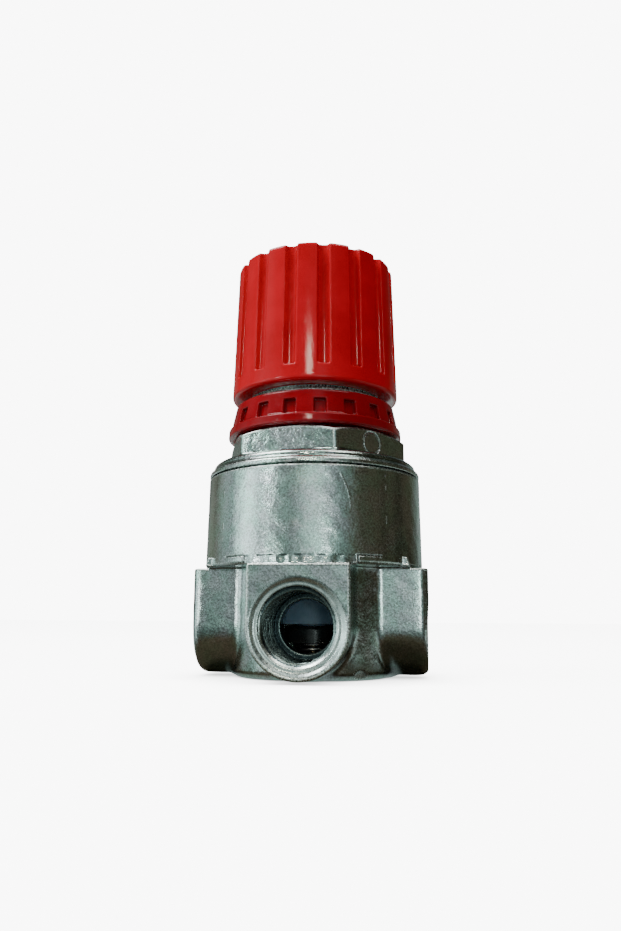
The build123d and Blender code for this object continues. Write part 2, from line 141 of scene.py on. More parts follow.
# inset and rise of each corner of the flange's profile, from the rim of the cup
FLANGE_PROFILE = ((0.0, 0.0), (0.0, 0.9), (0.6, 1.5), (0.8, 2.2), (1.5, 2.8), (2.7, 3.1))
HEX_ACROSS_FLATS = 31.0
HEX_TURN = math.radians(19.1)
HEX_TOP_Z = 43.9
HEX_CORNER_Z = 42.7
EJECTOR_Z = 41.4
EJECTOR_RADIUS = 2.1
EJECTOR_TURN = HEX_TURN + math.pi / 6
NECK_RADIUS = 12.5
NECK_BORE = 10.0
NECK_PITCH = 1.5
NECK_THREAD_DEPTH = 0.85
NECK_BORE_BOTTOM_Z = 41.5
NECK_CHAMFER = 0.9
SKIRT_RADIUS = 17.6
SKIRT_BORE = 14.2
SKIRT_BORE_TOP_Z = 37.5

THREADED_BORE = 12.7
RING_STEP_Z = 45.9
RING_STEP_RADIUS = 16.3
RING_TOP_RADIUS = 15.3
RING_POCKETS = 18
RING_POCKET_TURN = math.radians(10.8)
RING_POCKET_SIZE = (2.2, 0.9, 2.7)

# wire radius, closed turns at each end and open turns
MAIN_SPRING_COIL = (1.05, 1.0, 5.5)
POPPET_SPRING_COIL = (0.3, 1.0, 2.5)

DIAPHRAGM_HOLE = 2.8
ROLL_RADIUS = 13.55
ROLL_HALF_WIDTHS = (0.75, 1.75)
ROLL_SAGS = (1.0, 0.8)

KNOB_TOP_RADIUS = 15.5
KNOB_BOTTOM_RADIUS = 16.2
KNOB_CEILING_Z = 76.0
KNOB_BOSS_RADIUS = 4.6
KNOB_BOSS_BOTTOM_Z = 66.5
PIN_RADIUS = 2.5
PIN_TOP_Z = 72.5
KNOB_FLUTES = 16
KNOB_FLUTE_TURN = math.radians(12.9)
KNOB_FLUTE_WIDTH = 2.1
KNOB_FLUTE_DEPTH = 1.2
KNOB_FLUTE_BOTTOM_Z = 55.2
KNOB_RECESS_RADIUS = 11.0
KNOB_RECESS_DEPTH = 0.5

STEP = 0.2
BACKDROP_GLOW = 9.0
FLOOR_GLOW = 8.0
# radii and glow of a ring of light painted on the floor, which only reflections see
PAINTED_FLOOR_RING = (14.5 * MM, 16.5 * MM)
PAINTED_FLOOR_RING_GLOW = 0.3
DARK_FLOOR = (27 * MM, 42 * MM)
# brightness of the room by direction, 0 degrees in front and growing to the right, then by height above
# the horizon
ROOM_AROUND = (
    (-180, 0.70), (-152, 0.30), (-125, 0.22), (-90, 0.55), (-64, 2.3), (-43, 0.8), (-24, 0.38), (-5, 0.65),
    (14, 1.5), (34, 0.42), (52, 0.12), (75, 0.07), (132, 0.07), (158, 0.35), (180, 0.70),
)
ROOM_RISE = (
    (-90, 0.06), (-40, 0.09), (-28, 0.20), (-8, 0.38), (1, 0.62), (8, 1.0), (15, 0.85), (22, 0.25),
    (45, 0.18), (90, 0.80),
)
ROOM_PEAK = 2.5
# the same for the light that comes from below the horizon at the right and the back
BELOW_AROUND = (
    (-180, 0.9), (-158, 0.45), (-135, 0.8), (-110, 0.35), (-80, 0.0), (50, 0.0), (68, 0.45), (84, 0.3),
    (105, 0.7), (125, 0.30), (152, 0.20), (180, 0.9),
)
BELOW_RISE = ((-90, 0.0), (-60, 0.25), (-40, 0.8), (-22, 1.0), (-9, 1.0), (-4, 0.3), (-1, 0.0), (90, 0.0))
COOL, WARM = (0.78, 1.0, 0.97), (1.0, 0.89, 0.50)


# ---- signed-distance fields: negative inside, millimetres --------------------------------------------
def soft_min(a, b, width):
    """Union of two fields, with a fillet about as wide as width."""
    near = np.maximum(width - np.abs(a - b), 0)
    return np.minimum(a, b) - near * near / (4 * width)


def soft_max(a, b, width):
    """Intersection of two fields, with the edge rounded over about width."""
    return -soft_min(-a, -b, width)


def ramp(value, start, end):
    """Smooth step from 0 at start to 1 at end."""
    t = np.clip((value - start) / (end - start), 0, 1)
    return t * t * (3 - 2 * t)


def turned(r, z, corners, width=0.3):
    """Convex turned shape from its (radius, height) corners, listed anticlockwise."""
    field = None
    for (r0, z0), (r1, z1) in zip(corners, corners[1:] + corners[:1]):
        if r0 == 0 and r1 == 0:
            continue
        length = math.hypot(r1 - r0, z1 - z0)
        side = ((r - r0) * (z1 - z0) - (z - z0) * (r1 - r0)) / length
        field = side if field is None else soft_max(field, side, width)
    return field


def bored(field, r, z, radius, bottom, top, width=0.25):
    """The field with a round hole on the axis taken away between two heights."""
    hole = np.maximum(r - radius, np.maximum(bottom - z, z - top))
    return soft_max(field, -hole, width)


def nearest_repeat(angle, count, turn):
    """Angle from the nearest of count evenly spaced features."""
    pitch = 2 * math.pi / count
    return (angle - turn + pitch / 2) % pitch - pitch / 2


def angle_from_front(x, y):
    """Angle about the axis, 0 at -Y and growing towards +X."""
    return np.arctan2(x, -y)


def thread(along, angle, pitch, crest=0.3, root=0.22):
    """Depth share, 0 at the crest and 1 at the root, of a right-hand thread."""
    saw = np.abs((along / pitch - angle / (2 * math.pi)) % 1 - 0.5) * 2
    return ramp(saw, crest, 1 - root)


def cast_waves(x, y, z):
    """Slight unevenness of a die-cast skin, from 0 to 1."""
    total = 0
    for number in range(7):
        bend = 0.55 + 0.22 * number
        a, b, c = math.sin(2.1 * number + 0.4), math.cos(1.7 * number), math.sin(3.3 * number + 1.1)
        total = total + np.sin(bend * (a * x + b * y + c * z) + 1.9 * number)
    return 0.5 + total / 14


def port_side(x, y):
    """(across, outwards, number) of the nearest port: 0 inlet, 1 right, 2 back, 3 left."""
    front, right, back = y < -np.abs(x), x >= np.abs(y), y > np.abs(x)
    number = np.where(front, 0, np.where(right, 1, np.where(back, 2, 3)))
    across = np.where(front, x, np.where(right, y, np.where(back, -x, -y)))
    outwards = np.where(front, -y, np.where(right, x, np.where(back, y, -x)))
    return across, outwards, number


def port_field(across, outwards, up):
    """Hollow of one tapped port: spot face, mouth chamfer and helical thread."""
    rho = np.hypot(across, up)
    mouth = BOSS_REACH - SPOTFACE_DEPTH
    floor = BOSS_REACH - PORT_DEPTH
    depth = thread(outwards, np.arctan2(up, across), PORT_PITCH)
    depth = depth * ramp(outwards, floor + 0.6, floor + 2.2)
    tapped = np.maximum((rho - PORT_MINOR - (PORT_MAJOR - PORT_MINOR) * depth) * 0.8, floor - outwards)
    cone = (rho - PORT_MOUTH + (mouth - outwards) * (PORT_MOUTH - PORT_MINOR) / PORT_MOUTH_DEPTH) * 0.7
    cone = np.maximum(cone, mouth - PORT_MOUTH_DEPTH - outwards)
    lean = (SPOTFACE_RADIUS - SPOTFACE_FLOOR_RADIUS) / SPOTFACE_DEPTH
    dish = (rho - SPOTFACE_FLOOR_RADIUS - (outwards - mouth) * lean) / math.hypot(1, lean)
    spot = soft_max(dish, mouth - outwards, 0.12)
    return soft_min(np.minimum(tapped, cone), spot, 0.12)


def boss_field(across, outwards, up, edge, crown):
    """U-shaped port boss, edge being the rounding of its outer rim and crown how far its sides fall away."""
    side = np.where(up < 0, np.hypot(across, up), np.abs(across)) - BOSS_HALF_WIDTH + crown
    field = soft_max(side, outwards - BOSS_REACH, edge)
    return soft_max(field, up - (CUP_BOTTOM_Z - PORT_Z), 0.35)


def over_ends(angle):
    """Angle from the nearer of the front and back bosses."""
    return np.abs((angle + math.pi / 2) % math.pi - math.pi / 2)


def slits(r, angle, z):
    """Share of the thin parting slits beside the ledges over the end bosses: cut into the cup, and darkened
    as painted shade.
    """
    aside = over_ends(angle)
    beside = ramp(aside, LEDGE_INNER_ANGLE - 0.004, LEDGE_INNER_ANGLE + 0.004)
    beside = beside * (1 - ramp(aside, LEDGE_OUTER_ANGLE, LEDGE_OUTER_ANGLE + 0.03))
    level = beside * np.exp(-((z - LEDGE_TOP_Z) / SLIT_HALF_WIDTH) ** 2)
    below = (1 - ramp(z, LEDGE_TOP_Z, LEDGE_TOP_Z + 0.15)) * ramp(z, CUP_BOTTOM_Z, CUP_BOTTOM_Z + 0.3)
    upright = np.exp(-(r * (aside - LEDGE_INNER_ANGLE) / SLIT_HALF_WIDTH) ** 2) * below
    return np.maximum(level, upright) * (r > CUP_BORE_RADIUS + 1)


def casting_marks(r, angle, z):
    """Depth of the die's marks on the cup: rippled ledges over the end bosses, and the slits."""
    over_end = 1 - ramp(over_ends(angle), LEDGE_INNER_ANGLE - 0.006, LEDGE_INNER_ANGLE + 0.006)
    low_band = 1 - ramp(z, LEDGE_TOP_Z - 0.3, LEDGE_TOP_Z + 0.15)
    ripple = 0.5 + 0.5 * np.cos(RIPPLE_COUNT * angle + 0.9 * np.sin(7 * angle)) * np.cos(9 * angle + 0.8)
    below = np.clip((LEDGE_TOP_Z - z) / (LEDGE_TOP_Z - CUP_BOTTOM_Z), 0, 1)
    depth = over_end * (low_band * RIPPLE_DEPTH * ripple - LEDGE_FLARE * below)
    return depth + SLIT_DEPTH * slits(r, angle, z)


def seam(x, y, z):
    """Share of the seam between the cup and the bonnet: a shallow groove in both, darkened as painted shade.
    """
    return np.exp(-((z - CUP_TOP_Z) / SEAM_HALF_WIDTH) ** 2) * (np.hypot(x, y) > CUP_TOP_RADIUS - 1)


def rubbed_lines_and_chip_glint(x, y, z):
    """Share of bright rubbing on the parting lines and on a scratch of the cup, and of the chip at the base,
    lightened as wear and as a painted glint.
    """
    r, angle = np.hypot(x, y), angle_from_front(x, y)
    on_cup = ramp(z, CUP_BOTTOM_Z + 2, CUP_BOTTOM_Z + 4) * ramp(CUP_TOP_Z - z, 0.5, 1.5)
    on_cup = on_cup * (r > CUP_BORE_RADIUS + 1)
    parting = r * nearest_repeat(angle, 4, math.pi / 4)
    broken = ramp(np.sin(2.3 * z + 3 * angle) + np.sin(0.9 * z - 5 * angle), 0.2, 1.2)
    scratch = r * (angle - SCRATCH_ANGLE + 0.0022 * (z - SCRATCH_Z) ** 2)
    along = ramp(z, SCRATCH_Z, SCRATCH_Z + 1) * ramp(SCRATCH_Z + 7 - z, 0, 1)
    # the chip is lightened: its wear, and a painted glint
    chip = np.exp(-((r * (angle - CHIP_ANGLE) / 1.1) ** 2 + ((z - CHIP_Z) / 0.8) ** 2))
    parting = 0.9 * broken * np.exp(-(parting / 0.16) ** 2)
    lines = on_cup * np.maximum(parting, 0.5 * along * np.exp(-(scratch / 0.14) ** 2))
    return np.maximum(lines, chip)


def rubbed_mark_and_neck_glints(x, y, z):
    """Share of bright colour on the ejector mark, as rubbing and a painted highlight, and on the bonnet's
    neck above the hexagon, as painted glints of its thread crests.
    """
    beside = x * math.cos(EJECTOR_TURN) + y * math.sin(EJECTOR_TURN)
    outer_side = x * math.sin(EJECTOR_TURN) - y * math.cos(EJECTOR_TURN) > NECK_RADIUS + 1
    around = np.arctan2(z - EJECTOR_Z, beside)
    broken = ramp(np.sin(5 * around + 0.5) + np.sin(3 * around), -0.6, 0.6)
    mark = np.hypot(beside, z - EJECTOR_Z) - EJECTOR_RADIUS
    ring = 0.9 * outer_side * broken * np.exp(-(mark / 0.2) ** 2)
    # painted glints: the neck above the hexagon is lightened for its bright thread crests
    return np.maximum(ring, 0.9 * (z > HEX_TOP_Z + 1) * (np.hypot(x, y) > NECK_BORE + 1))


def body_field(x, y, z):
    """Die-cast body with its bores, parting marks and uneven skin."""
    r = np.hypot(x, y)
    angle = angle_from_front(x, y)
    across, outwards, number = port_side(x, y)
    up = z - PORT_Z
    barrel_top = CUP_BOTTOM_Z + 2
    corners = [(0, 0), (BARREL_RADIUS, 0), (BARREL_RADIUS, barrel_top), (0, barrel_top)]
    barrel = turned(r, z, corners, BARREL_EDGE)
    edge = np.where(number % 2 == 0, END_BOSS_EDGE, SIDE_BOSS_EDGE)
    crown = np.where(number % 2 == 0, 0, CROWN_RATE * np.maximum(outwards - CROWN_START, 0) ** 2)
    field = soft_min(barrel, boss_field(across, outwards, up, edge, crown), BOSS_FILLET)
    cup = turned(r, z, [
        (0, CUP_BOTTOM_Z),
        (CUP_BOTTOM_RADIUS, CUP_BOTTOM_Z),
        (CUP_TOP_RADIUS, CUP_TOP_Z),
        (0, CUP_TOP_Z),
    ])
    chamfer = (r - CUP_BOTTOM_RADIUS + CUP_BOTTOM_Z - z + CUP_CHAMFER) * math.sqrt(0.5)
    chamfer = chamfer - 0.25 * (np.abs(across) < 9.5) * (number % 2 == 0)
    cup = soft_max(cup, chamfer, 0.2) + SEAM_DEPTH * seam(x, y, z)
    cup = cup + np.where(z > CUP_BOTTOM_Z - 1, casting_marks(r, angle, z), 0)
    field = soft_min(field, cup, 0.35)
    width = TONGUE_HALF_WIDTH * (1 - 0.5 * ramp(z, CUP_BOTTOM_Z, TONGUE_TOP_Z))
    tongue = soft_max(np.abs(np.abs(x) - TONGUE_X) - width, np.abs(y) - TONGUE_Y, 0.2)
    tongue = soft_max(tongue, np.maximum(z - TONGUE_TOP_Z, CUP_BOTTOM_Z - z), 0.3)
    field = soft_min(field, np.maximum(tongue, 19 - r), 0.25)
    inwards, aside, upwards = r - BARREL_RADIUS - 0.3, r * (angle - CHIP_ANGLE) / 1.6, (z - CHIP_Z) / 1.2
    chip = np.sqrt(inwards ** 2 + aside ** 2 + upwards ** 2) - 0.75
    field = soft_max(field, -chip, 0.3)
    field = field + CAST_UNEVENNESS * cast_waves(x, y, z)
    field = soft_max(field, -port_field(across, outwards, up), 0.15)
    inlet = np.where(number == 0, np.hypot(across, up) - INLET_HOLE, 1.0)
    field = soft_max(field, -np.maximum(inlet, outwards - BOSS_REACH), 0.25)
    passage = np.hypot(across, outwards - PASSAGE_OFFSET) - PASSAGE_RADIUS
    passage = np.maximum(passage, np.maximum(PORT_Z - z, z - CHAMBER_FLOOR_Z - 1))
    field = np.maximum(field, -np.where(number == 0, 1.0, passage))
    field = bored(field, r, z, VALVE_BORE_RADIUS, -1, VALVE_BORE_TOP_Z)
    field = bored(field, r, z, PLUG_FLANGE_RADIUS, -1, PLUG_FLANGE_TOP_Z)
    field = bored(field, r, z, WEB_HOLE_RADIUS, 0, CUP_TOP_Z)
    field = bored(field, r, z, CHAMBER_RADIUS, CHAMBER_FLOOR_Z, CUP_TOP_Z)
    return bored(field, r, z, CUP_BORE_RADIUS, LEDGE_Z, CUP_TOP_Z + 1)


def hexagon_field(x, y, z, r):
    """Bonnet hexagon with rounded corners and the turned chamfer over them."""
    field = None
    for side in range(6):
        normal = HEX_TURN + (side + 0.5) * math.pi / 3
        wall = x * math.sin(normal) - y * math.cos(normal) - HEX_ACROSS_FLATS / 2
        field = wall if field is None else soft_max(field, wall, 0.7)
    beside = x * math.cos(EJECTOR_TURN) + y * math.sin(EJECTOR_TURN)
    mark = np.hypot(beside, z - EJECTOR_Z) - EJECTOR_RADIUS
    outer_side = x * math.sin(EJECTOR_TURN) - y * math.cos(EJECTOR_TURN) > NECK_RADIUS
    field = field + np.where(outer_side, 0.10 * np.exp(-(mark / 0.16) ** 2) + 0.04 * (mark < 0), 0)
    slope = (HEX_TOP_Z - HEX_CORNER_Z) / (HEX_ACROSS_FLATS / 2 / math.cos(math.pi / 6) - HEX_ACROSS_FLATS / 2)
    chamfer = (z - HEX_TOP_Z + slope * (r - HEX_ACROSS_FLATS / 2)) / math.hypot(1, slope)
    field = soft_max(field, np.maximum(chamfer, z - HEX_TOP_Z), 0.3)
    return np.maximum(field, CUP_TOP_Z + 1 - z)


def bonnet_field(x, y, z):
    """Bonnet: skirt, stepped flange, hexagon and threaded neck."""
    r = np.hypot(x, y)
    (_, _), (_, rim), (step, step_top), (wall, wall_top), (cone, cone_top), (brow, top) = FLANGE_PROFILE
    rim_disc = turned(r, z, [
        (0, CUP_TOP_Z),
        (CUP_TOP_RADIUS, CUP_TOP_Z),
        (CUP_TOP_RADIUS, CUP_TOP_Z + rim),
        (CUP_TOP_RADIUS - step, CUP_TOP_Z + step_top),
        (0, CUP_TOP_Z + step_top),
    ], 0.2)
    upper_disc = turned(r, z, [
        (0, CUP_TOP_Z),
        (CUP_TOP_RADIUS - step, CUP_TOP_Z),
        (CUP_TOP_RADIUS - wall, CUP_TOP_Z + wall_top),
        (CUP_TOP_RADIUS - cone, CUP_TOP_Z + cone_top),
        (CUP_TOP_RADIUS - brow, CUP_TOP_Z + top),
        (0, CUP_TOP_Z + top),
    ], 0.25)
    flange = soft_min(rim_disc, upper_disc, 0.2) + SEAM_DEPTH * seam(x, y, z)
    skirt = turned(r, z, [
        (0, BONNET_LOW[2]),
        (SKIRT_RADIUS, BONNET_LOW[2]),
        (SKIRT_RADIUS, CUP_TOP_Z + 1),
        (0, CUP_TOP_Z + 1),
    ])
    field = np.minimum(flange, skirt)
    field = soft_min(field, hexagon_field(x, y, z, r), 0.4)
    field = field + CAST_UNEVENNESS * cast_waves(x + 7, y, z)
    cut = NECK_THREAD_DEPTH * thread(z, np.arctan2(y, x), NECK_PITCH)
    lead = np.maximum(z - BONNET_HIGH[2] + NECK_CHAMFER, 0)
    neck_ends = np.maximum(z - BONNET_HIGH[2], CUP_TOP_Z + 2 - z)
    neck = np.maximum((r - NECK_RADIUS + np.maximum(cut, lead)) * 0.8, neck_ends)
    field = soft_min(field, neck, 0.2)
    hollow = turned(r, z, [
        (0, BONNET_LOW[2] - 1),
        (SKIRT_BORE, BONNET_LOW[2] - 1),
        (SKIRT_BORE, SKIRT_BORE_TOP_Z),
        (NECK_BORE, NECK_BORE_BOTTOM_Z),
        (0, NECK_BORE_BOTTOM_Z),
    ])
    hollow = np.minimum(hollow, np.maximum(r - NECK_BORE, 40 - z))
    return soft_max(field, -hollow, 0.25)


def ring_field(x, y, z):
    """Ring nut: flange, tapered side and finger pockets."""
    r = np.hypot(x, y)
    bottom, top, step = RING_LOW[2], RING_HIGH[2], RING_STEP_Z
    flange = turned(r, z, [(0, bottom), (RING_HIGH[0], bottom), (RING_HIGH[0] - 0.1, step), (0, step)], 0.4)
    cone = turned(r, z, [
        (0, bottom),
        (RING_STEP_RADIUS, bottom),
        (RING_STEP_RADIUS, step),
        (RING_TOP_RADIUS, top),
        (0, top),
    ], 0.4)
    field = soft_min(flange, cone, 0.3)
    wide, deep, high = RING_POCKET_SIZE
    around = r * nearest_repeat(angle_from_front(x, y), RING_POCKETS, RING_POCKET_TURN)
    middle = step + 0.1 + high / 2
    slope = (RING_STEP_RADIUS - RING_TOP_RADIUS) / (top - step)
    floor = RING_STEP_RADIUS - slope * (z - step) - deep
    pocket = soft_max(np.abs(around) - wide / 2, np.abs(z - middle) - high / 2, 0.3)
    pocket = soft_max(pocket, floor - r, 0.3)
    field = soft_max(field, -pocket, 0.25)
    return bored(field, r, z, THREADED_BORE, bottom - 1, top + 1, 0.5)


def knob_field(x, y, z):
    """Fluted knob with its bore, its centre boss and the shallow recess on top."""
    r = np.hypot(x, y)
    bottom, top = KNOB_LOW[2], KNOB_HIGH[2]
    field = turned(r, z, [(0, bottom), (KNOB_BOTTOM_RADIUS, bottom), (KNOB_TOP_RADIUS, top), (0, top)], 0.8)
    lean = (KNOB_BOTTOM_RADIUS - KNOB_TOP_RADIUS) / (top - bottom)
    floor = KNOB_BOTTOM_RADIUS - lean * (z - bottom) - KNOB_FLUTE_DEPTH
    around = r * nearest_repeat(angle_from_front(x, y), KNOB_FLUTES, KNOB_FLUTE_TURN)
    flute = soft_max(np.abs(around) - KNOB_FLUTE_WIDTH / 2, floor - r, 1.1)
    flute = soft_max(flute, KNOB_FLUTE_BOTTOM_Z - z, 0.4)
    field = soft_max(field, -flute, 0.35)
    field = bored(field, r, z, KNOB_RECESS_RADIUS, top - KNOB_RECESS_DEPTH, top + 1, 0.3)
    hollow = np.maximum(r - THREADED_BORE, z - KNOB_CEILING_Z)
    boss = np.maximum(r - KNOB_BOSS_RADIUS, KNOB_BOSS_BOTTOM_Z - z)
    hollow = soft_max(hollow, -boss, 0.3)
    field = soft_max(field, -hollow, 0.4)
    return bored(field, r, z, PIN_RADIUS, KNOB_BOSS_BOTTOM_Z - 1, PIN_TOP_Z, 0.2)


def diaphragm_field(x, y, z):
    """Rubber diaphragm: flat centre, one rolled convolution and a rim that sits on the body's ledge."""
    r = np.hypot(x, y)
    sags = [
        sag * np.cos(math.pi / 2 * np.clip((r - ROLL_RADIUS) / half, -1, 1)) ** 2
        for half, sag in zip(ROLL_HALF_WIDTHS, ROLL_SAGS)
    ]
    under = LEDGE_Z + 0.2 * (1 - ramp(r, ROLL_RADIUS - 1, ROLL_RADIUS + 1)) - sags[1]
    field = soft_max(z - DIAPHRAGM_HIGH[2] + sags[0], under - z, 0.2) * 0.7
    return soft_max(field, np.maximum(r - DIAPHRAGM_HIGH[0], DIAPHRAGM_HOLE - r), 0.2)


# ---- meshes from fields ------------------------------------------------------------------------------
CORNERS = [(a, b, c) for a in (0, 1) for b in (0, 1) for c in (0, 1)]
EDGES = [
    (p, q)
    for p in range(8)
    for q in range(p + 1, 8)
    if sum(abs(i - j) for i, j in zip(CORNERS[p], CORNERS[q])) == 1
]


def sample(field, axes):
    """Field values on a grid, worked out in slabs to save memory."""
    x, y, z = axes
    slab = 12
    parts = [
        np.broadcast_to(
            field(x[s:s + slab, None, None], y[None, :, None], z[None, None, :]),
            (len(x[s:s + slab]), len(y), len(z)),
        ).astype(np.float32)
        for s in range(0, len(x), slab)
    ]
    return np.concatenate(parts)


def gradient(field, points):
    """Unit normals and field values at the points."""
    reach = 0.04
    here = field(*points.T)
    slope = np.stack([field(*(points + reach * np.eye(3)[a]).T) for a in range(3)], axis=1)
    slope -= np.stack([field(*(points - reach * np.eye(3)[a]).T) for a in range(3)], axis=1)
    slope /= 2 * reach
    return slope, here


def skin(field, low, high, step):
    """Quad mesh of the field's zero surface: (points, quads, normals)."""
    pad = 2 * step
    axes = [np.arange(low[a] - pad, high[a] + pad + step, step) for a in range(3)]
    values = sample(field, axes)
    inside = values < 0
    shape = tuple(n - 1 for n in values.shape)
    count = sum(inside[a:a + shape[0], b:b + shape[1], c:c + shape[2]].astype(np.int8) for a, b, c in CORNERS)
    mixed = (count > 0) & (count < 8)
    i, j, k = np.nonzero(mixed)
    number = np.full(shape, -1, np.int32)
    number[mixed] = np.arange(len(i), dtype=np.int32)
    total, crossings = np.zeros((len(i), 3)), np.zeros(len(i))
    for p, q in EDGES:
        a, b = np.array(CORNERS[p]), np.array(CORNERS[q])
        va, vb = values[i + a[0], j + a[1], k + a[2]], values[i + b[0], j + b[1], k + b[2]]
        cut = (va < 0) != (vb < 0)
        share = np.where(cut, va / np.where(cut, va - vb, 1), 0)[:, None]
        total += np.where(cut[:, None], a + share * (b - a), 0)
        crossings += cut
    origin = np.array([axis[0] for axis in axes])
    points = origin + step * (np.stack([i, j, k], axis=1) + total / crossings[:, None])
    quads = []
    for axis in range(3):
        u, v = (axis + 1) % 3, (axis + 2) % 3
        first = np.take(inside, range(values.shape[axis] - 1), axis)
        second = np.take(inside, range(1, values.shape[axis]), axis)
        cell = list(np.nonzero(first != second))
        keep = (cell[u] > 0) & (cell[v] > 0) & (cell[u] < shape[u]) & (cell[v] < shape[v])
        cell = [c[keep] for c in cell]
        outward = first[tuple(cell)]
        ring = []
        for du, dv in ((0, 0), (1, 0), (1, 1), (0, 1)):
            at = list(cell)
            at[u], at[v] = cell[u] - du, cell[v] - dv
            ring.append(number[tuple(at)])
        quad = np.stack(ring, axis=1)
        quads.append(np.where(outward[:, None], quad, quad[:, ::-1]))
    quads = np.concatenate(quads)
    for _ in range(3):
        slope, here = gradient(field, points)
        size = np.maximum((slope ** 2).sum(axis=1), 0.2)
        move = slope * (here / size)[:, None]
        reach = np.linalg.norm(move, axis=1, keepdims=True)
        points = points - move * np.minimum(1, 0.5 * step / np.maximum(reach, 1e-9))
    slope, _ = gradient(field, points)
    normals = slope / np.maximum(np.linalg.norm(slope, axis=1, keepdims=True), 1e-9)
    return points, quads, normals


def edge_share(field, points):
    """How sharply the surface turns at each point: towards 1 on outer edges, towards -1 in inner corners."""
    reach = 0.22
    turn = -6 * field(*points.T)
    for axis in np.eye(3):
        for side in (reach, -reach):
            turn = turn + field(*(points + side * axis).T)
    turn = turn / reach ** 2
    return ramp(turn, 0.5, 2.5) - ramp(-turn, 0.5, 2.5)


def solid(name, field, low, high, rubbing_and_glints=None, step=STEP):
    """Object whose surface is the field's skin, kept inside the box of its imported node."""
    points, quads, normals = skin(field, low, high, step)
    points = np.clip(points, low, high)
    mesh = bpy.data.meshes.new(name)
    mesh.from_pydata((points * MM).tolist(), [], quads.tolist())
    # edge: outer edges and rubbed marks, which finishes paint lighter (wear, and painted highlights and
    # glints), and inner corners, the seam and the slits, painted darker as shade
    edge = edge_share(field, points)
    if rubbing_and_glints:
        x, y, z = points.T
        painted_shade = np.maximum(seam(x, y, z), slits(np.hypot(x, y), angle_from_front(x, y), z))
        edge = np.maximum(edge, rubbing_and_glints(x, y, z)) * (1 - painted_shade) - painted_shade
    mesh.attributes.new("edge", "FLOAT", "POINT").data.foreach_set("value", edge.astype(np.float32))
    mesh.polygons.foreach_set("use_smooth", [True] * len(mesh.polygons))
    mesh.normals_split_custom_set_from_vertices(normals.tolist())
    thing = bpy.data.objects.new(name, mesh)
    bpy.context.collection.objects.link(thing)
    return thing


def mark_ports(thing, inner, facing):
    """Gives the faces inside the four ports a metal painted dark for their shade, and the faced rings round
    them their own finish.
    """
    mesh = thing.data
    mesh.materials.append(inner)
    mesh.materials.append(facing)
    centres = np.empty(3 * len(mesh.polygons))
    mesh.polygons.foreach_get("center", centres)
    x, y, z = centres.reshape(-1, 3).T / MM
    across, outwards, number = port_side(x, y)
    rho = np.hypot(across, z - PORT_Z)
    on_port = (outwards > VALVE_BORE_RADIUS) & (np.abs(port_field(across, outwards, z - PORT_Z)) < 0.2)
    bored_out = (number == 0) & (rho < PORT_MINOR) & (outwards > VALVE_BORE_RADIUS)
    deep = (on_port & (outwards < BOSS_REACH - SPOTFACE_DEPTH - 0.35)) | bored_out
    ring = on_port & ~deep & (rho < SPOTFACE_RADIUS)
    # the inside of each port gets the metal painted dark as its shade
    mesh.polygons.foreach_set("material_index", (deep + 2 * ring).astype(np.int32))


# ---- springs -----------------------------------------------------------------------------------------
def spring(name, low, high, wire, closed_turns, open_turns):
    """Right-hand compression spring with closed, flat-ground ends."""
    radius = high[0] - wire
    turns = 2 * closed_turns + open_turns
    steps_per_turn, sides = 40, 14
    t = np.linspace(0, turns, int(turns * steps_per_turn) + 1)
    first, last = low[2] + 0.35 * wire, high[2] - 0.35 * wire
    closing = 2.1 * wire
    height = last - first - 2 * closed_turns * closing
    z = first + closing * np.minimum(t, closed_turns)
    z = z + height * np.clip((t - closed_turns) / open_turns, 0, 1)
    z = z + closing * np.maximum(t - closed_turns - open_turns, 0)
    smooth = np.ones(13) / 13
    z[6:-6] = np.convolve(z, smooth, "valid")
    a = 2 * math.pi * t
    path = np.stack([radius * np.cos(a), radius * np.sin(a), z], axis=1)
    along = np.gradient(path, axis=0)
    along /= np.linalg.norm(along, axis=1, keepdims=True)
    out = np.stack([np.cos(a), np.sin(a), 0 * a], axis=1)
    side = np.cross(along, out)
    b = np.linspace(0, 2 * math.pi, sides, endpoint=False)
    cosines, sines = np.cos(b)[None, :, None], np.sin(b)[None, :, None]
    rings = path[:, None] + wire * (cosines * out[:, None] + sines * side[:, None])
    points = rings.reshape(-1, 3)
    points[:, 2] = np.clip(points[:, 2], low[2], high[2])
    faces = [
        (n * sides + s, n * sides + (s + 1) % sides, (n + 1) * sides + (s + 1) % sides, (n + 1) * sides + s)
        for n in range(len(t) - 1)
        for s in range(sides)
    ]
    faces += [tuple(range(sides))[::-1], tuple(range(len(points) - sides, len(points)))]
    mesh = bpy.data.meshes.new(name)
    mesh.from_pydata((points * MM).tolist(), [], faces)
    mesh.validate()
    mesh.polygons.foreach_set("use_smooth", [True] * len(mesh.polygons))
    thing = bpy.data.objects.new(name, mesh)
    bpy.context.collection.objects.link(thing)
    return thing


